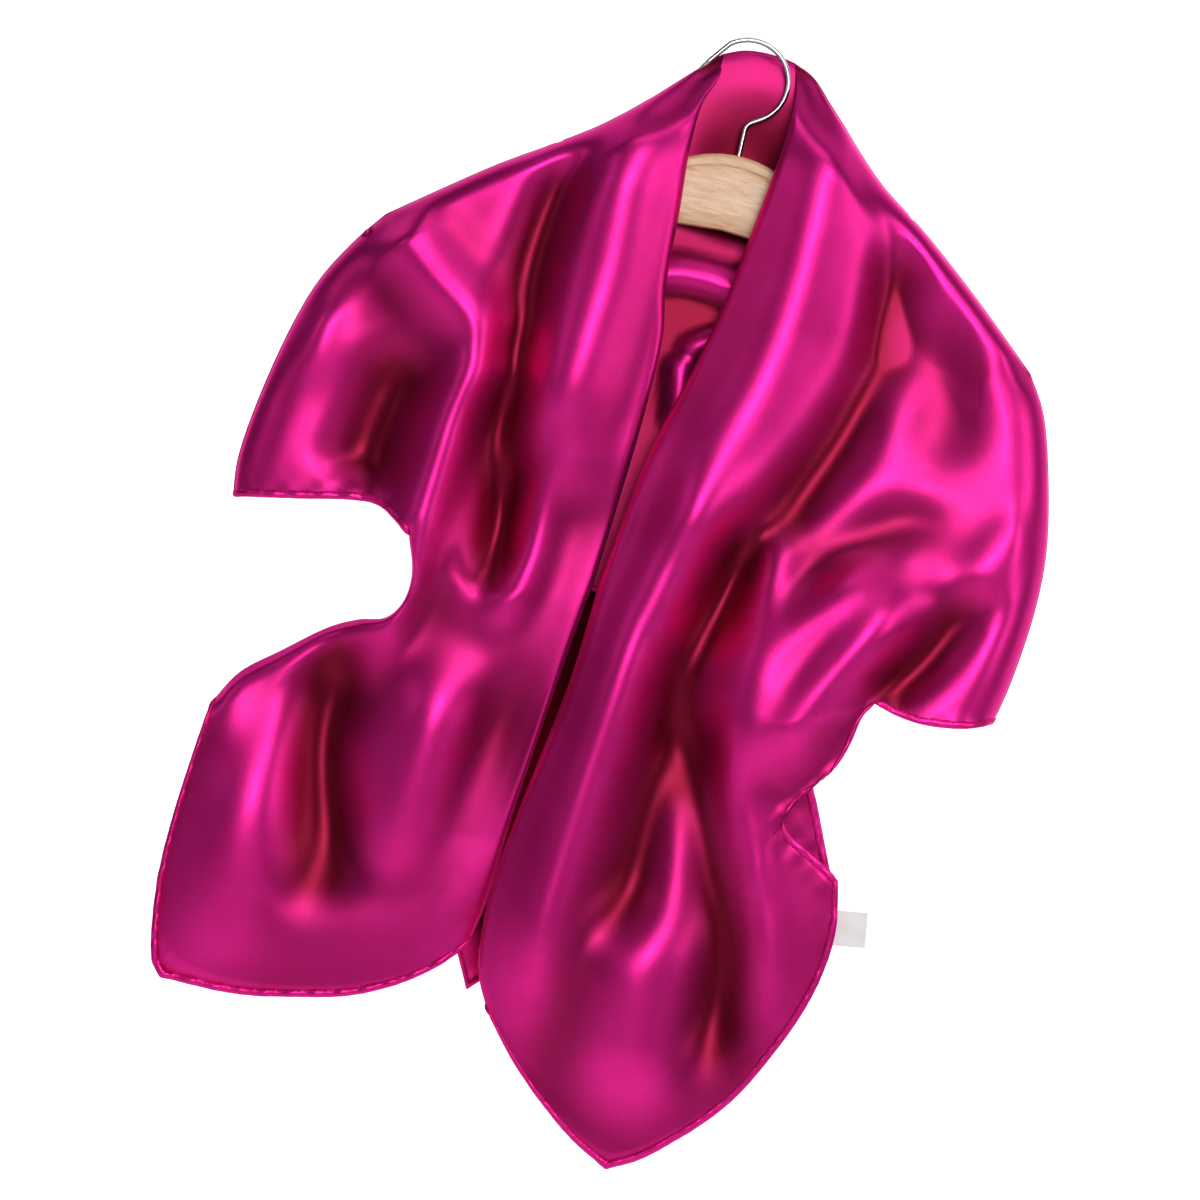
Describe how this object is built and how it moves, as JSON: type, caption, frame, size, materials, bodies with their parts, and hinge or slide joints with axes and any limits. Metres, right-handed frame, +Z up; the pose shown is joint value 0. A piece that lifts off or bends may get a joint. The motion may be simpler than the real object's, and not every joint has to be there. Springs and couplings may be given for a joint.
{
  "type": "evening shawl on a wooden hanger",
  "caption": "Satin square folded on the diagonal and draped as a shawl over a wooden hanger, its fold forming two soft lapels and its fronts hanging in deep folds.",
  "frame": {"origin": "inside top of the hanger's hook, where the rail bears", "axes": "+Z up, -Y towards the viewer, the front of the shawl; +X to the viewer's right"},
  "size_m": [0.4685, 0.0934, 0.648],
  "materials": {
    "satin": "glossy fuchsia satin",
    "satin_inner": "glossy fuchsia satin, inner layer",
    "beech": "clear satin lacquer",
    "wire": "bright plated wire",
    "label_tape": "matt woven tape, bare"
  },
  "bodies": {
    "root": {"shawl_front_left": "satin", "shawl_front_right": "satin", "shawl_back": "satin", "shawl_inner_back": "satin_inner", "label": "label_tape", "hanger_body": "beech", "hanger_hook": "wire"}
  },
  "joints": []
}
